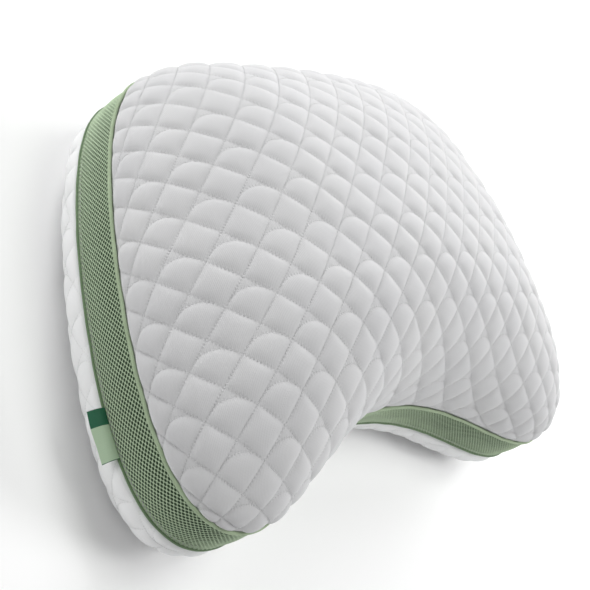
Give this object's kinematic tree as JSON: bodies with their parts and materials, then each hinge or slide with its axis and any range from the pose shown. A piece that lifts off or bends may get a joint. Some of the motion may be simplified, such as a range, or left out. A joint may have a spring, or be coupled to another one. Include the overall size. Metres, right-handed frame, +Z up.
{
  "type": "side sleeper pillow",
  "caption": "Kidney-shaped bed pillow with quilted knit faces, an air-mesh side band, piped seams and a shoulder recess.",
  "frame": {"origin": "centre of the overall box's bottom face, under the pillow's flat resting spot", "axes": "+X along the pillow's width, +Y toward the rounded back edge, -Y toward the shoulder recess, +Z up out of the crowned top panel"},
  "size_m": [0.6441, 0.4103, 0.2156],
  "materials": {
    "quilted_knit": "quilted diamond knit",
    "under_knit": "quilted diamond knit",
    "air_mesh": "open spacer mesh",
    "piping": "bias-cut cloth over cord",
    "under_piping": "bias-cut cloth over cord",
    "woven_label": "woven satin"
  },
  "bodies": {
    "root": {"top_panel": "quilted_knit", "gusset_band": "air_mesh", "bottom_panel": "under_knit", "top_piping": "piping", "bottom_piping": "under_piping", "label": "woven_label"}
  },
  "joints": []
}
